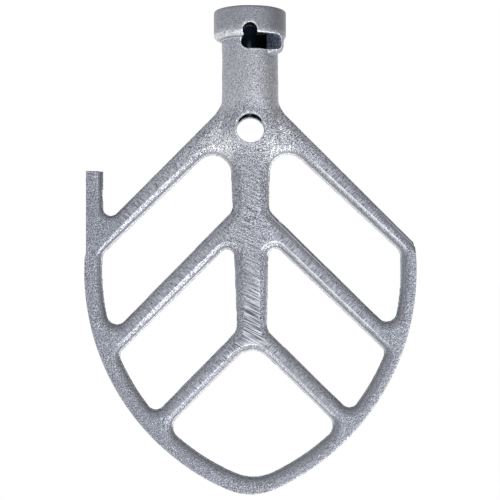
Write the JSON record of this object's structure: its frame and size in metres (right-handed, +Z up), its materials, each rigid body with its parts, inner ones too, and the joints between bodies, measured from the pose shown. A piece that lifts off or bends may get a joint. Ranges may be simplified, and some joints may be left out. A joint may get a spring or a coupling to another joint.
{
  "type": "stand mixer flat beater",
  "caption": "Leaf-shaped cast aluminium flat beater with a ribbed open frame, a scraper finger and a bayonet collar that locks on a planetary mixer's shaft.",
  "frame": {"origin": "on the shaft axis, in the top plane of the collar, where the bore opens", "axes": "+Z up out of the bore along the shaft axis, +X to the right and -Y to the front, the side with the drive pin's slot"},
  "size_m": [0.218, 0.0476, 0.317],
  "materials": {
    "cast_aluminium": "sand cast and tumbled, matt with a fine grain"
  },
  "bodies": {
    "root": {"flat_beater": "cast_aluminium"}
  },
  "joints": []
}
